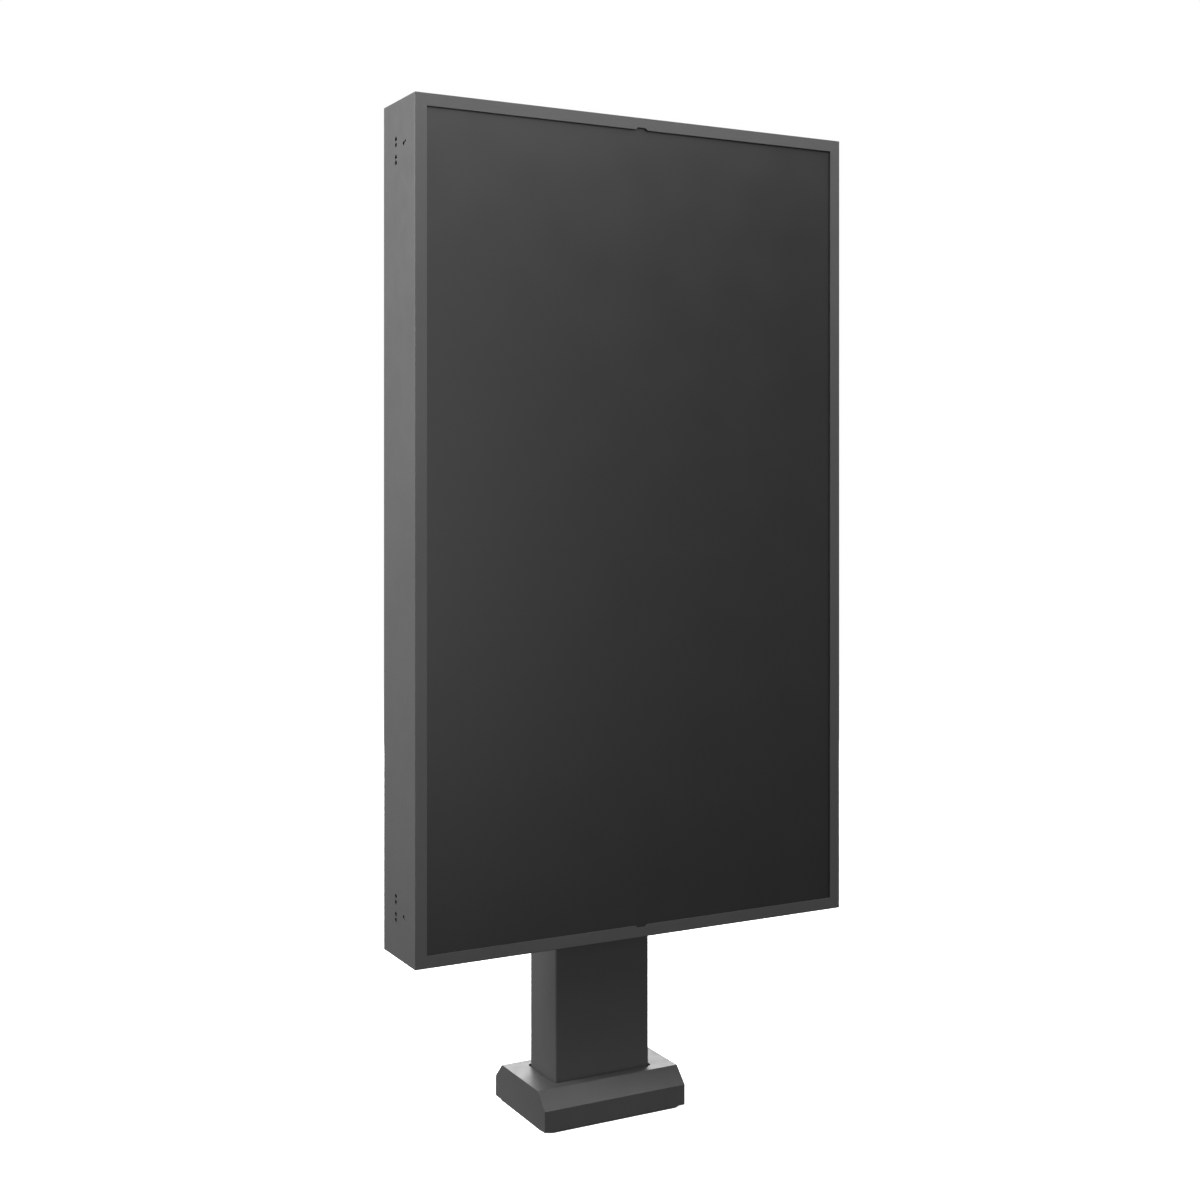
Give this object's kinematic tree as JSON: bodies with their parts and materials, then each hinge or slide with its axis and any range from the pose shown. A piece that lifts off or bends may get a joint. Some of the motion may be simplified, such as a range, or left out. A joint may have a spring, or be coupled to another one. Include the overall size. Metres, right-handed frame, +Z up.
{
  "type": "touchscreen kiosk",
  "caption": "Floor-standing portrait touchscreen kiosk: a flat display housing with a hinged front door, carried on the front of a column with a bolted base.",
  "frame": {"origin": "on the floor, at the centre of the base plate's anchor hole pattern", "axes": "+Z up; the screen faces -Y; +X is to the right of someone reading the screen"},
  "size_m": [0.771, 0.272, 1.62],
  "materials": {
    "charcoal_powder_coat": "fine-textured matt powder coat",
    "zinc_plated_steel": "zinc plated",
    "stainless_steel": "brushed",
    "black_oxide_steel": "black oxide",
    "galvanised_steel": "galvanised sheet",
    "black_coated_steel": "satin black",
    "black_plastic": "moulded",
    "black_rubber": "smooth",
    "touch_glass": "anti-glare over a black display",
    "lcd_glass": "switched off",
    "white_diffuser": "opal",
    "white_circuit_board": "white solder mask",
    "green_circuit_board": "solder mask",
    "brass": "turned",
    "filter_foam": "open-cell foam",
    "button_plastic": "moulded",
    "perforated_aluminium": "mill finish",
    "grey_plastic": "moulded",
    "toggle_plastic": "moulded"
  },
  "bodies": {
    "stand": {"base_plate": "charcoal_powder_coat", "cable_grommet": "black_rubber", "circuit_breaker": "grey_plastic", "column": "charcoal_powder_coat", "column_cap": "black_plastic", "column_gussets": "charcoal_powder_coat", "column_hatch": "charcoal_powder_coat", "cover_rests": "zinc_plated_steel", "din_rail": "zinc_plated_steel", "fan_frame_left": "black_plastic", "fan_frame_right": "black_plastic", "fan_guards": "black_coated_steel", "fan_screws": "black_oxide_steel", "filter_frames": "black_plastic", "hatch_screws": "black_oxide_steel", "hinge_pan_leaves": "charcoal_powder_coat", "hinge_pins": "stainless_steel", "hinge_screws": "black_oxide_steel", "intake_filters": "filter_foam", "latch_keepers": "zinc_plated_steel", "media_player_base": "zinc_plated_steel", "media_player_board": "green_circuit_board", "media_player_case": "black_coated_steel", "mount_bolts": "black_oxide_steel", "mount_nuts": "zinc_plated_steel", "mount_plate": "charcoal_powder_coat", "mount_washers": "black_oxide_steel", "pan_rim": "charcoal_powder_coat", "power_supply": "perforated_aluminium", "rear_crossbars": "zinc_plated_steel", "rear_pan": "charcoal_powder_coat", "supply_terminals": "black_plastic", "terminal_blocks": "grey_plastic"},
    "door": {"front_door": "charcoal_powder_coat", "door_walls": "charcoal_powder_coat", "glass_gasket": "black_rubber", "touch_glass": "touch_glass", "glass_clips": "zinc_plated_steel", "clip_nuts": "zinc_plated_steel", "display_bezel": "black_coated_steel", "lcd_cell": "lcd_glass", "diffuser_plate": "white_diffuser", "backlight_tray": "galvanised_steel", "led_bars": "white_circuit_board", "display_rails": "zinc_plated_steel", "rail_brackets": "zinc_plated_steel", "rail_screws": "zinc_plated_steel", "display_screws": "zinc_plated_steel", "driver_board": "green_circuit_board", "touch_controller": "green_circuit_board", "board_standoffs": "brass", "latch_bodies": "black_oxide_steel", "hinge_door_leaves": "charcoal_powder_coat"},
    "base_cover": {"base_cover": "charcoal_powder_coat"},
    "latch_upper": {"latch_cam_upper": "stainless_steel"},
    "latch_lower": {"latch_cam_lower": "stainless_steel"},
    "fan_left": {"fan_rotor_left": "black_plastic"},
    "fan_right": {"fan_rotor_right": "black_plastic"},
    "player_button": {"media_player_button": "button_plastic"},
    "breaker_toggle": {"breaker_toggle": "toggle_plastic"}
  },
  "joints": [
    {"name": "door_hinge", "type": "hinge", "parent": "stand", "child": "door", "pos_m": [0.378, -0.0435, 0.97], "axis": [0, 0, 1], "range_deg": [0, 100]},
    {"name": "latch_upper_turn", "type": "hinge", "parent": "door", "child": "latch_upper", "pos_m": [-0.3785, -0.1325, 1.551], "axis": [1, 0, 0], "range_deg": [0, 90]},
    {"name": "latch_lower_turn", "type": "hinge", "parent": "door", "child": "latch_lower", "pos_m": [-0.3785, -0.1325, 0.389], "axis": [1, 0, 0], "range_deg": [-90, 0]},
    {"name": "base_cover_lift", "type": "slide", "parent": "stand", "child": "base_cover", "axis": [0, 0, 1], "range_m": [0, 0.2]},
    {"name": "fan_left_spin", "type": "hinge", "parent": "stand", "child": "fan_left", "pos_m": [-0.2, -0.065, 1.45], "axis": [0, 1, 0], "continuous": true},
    {"name": "fan_right_spin", "type": "hinge", "parent": "stand", "child": "fan_right", "pos_m": [0.2, -0.065, 1.45], "axis": [0, 1, 0], "continuous": true},
    {"name": "player_button_press", "type": "slide", "parent": "stand", "child": "player_button", "axis": [0, 1, 0], "range_m": [0, 0.0025], "stiffness_N_per_m": 400},
    {"name": "breaker_toggle_turn", "type": "hinge", "parent": "stand", "child": "breaker_toggle", "pos_m": [0.148, -0.1055, 0.68], "axis": [1, 0, 0], "range_deg": [0, 70]}
  ]
}
